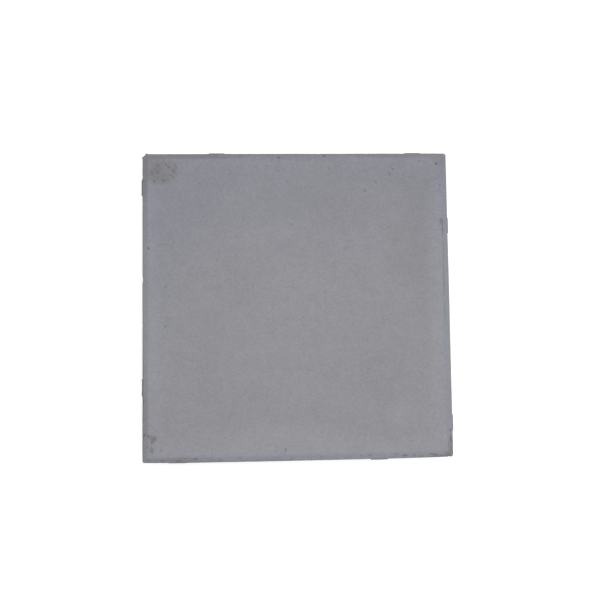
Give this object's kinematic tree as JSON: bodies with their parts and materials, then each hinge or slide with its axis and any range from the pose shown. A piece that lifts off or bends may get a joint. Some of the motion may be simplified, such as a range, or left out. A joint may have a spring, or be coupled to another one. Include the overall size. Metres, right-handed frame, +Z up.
{
  "type": "concrete paving slab",
  "caption": "Square concrete paving slab with a bevelled walking face, small rounded corners and low spacer nibs on its side walls.",
  "frame": {"origin": "middle of the bed face, on the ground plane", "axes": "+Z up through the walking face, +X and +Y square to the side walls; the broken corner is at -X, +Y"},
  "size_m": [0.403, 0.403, 0.04],
  "materials": {
    "concrete": "matte"
  },
  "bodies": {
    "root": {"paving_slab": "concrete"}
  },
  "joints": []
}
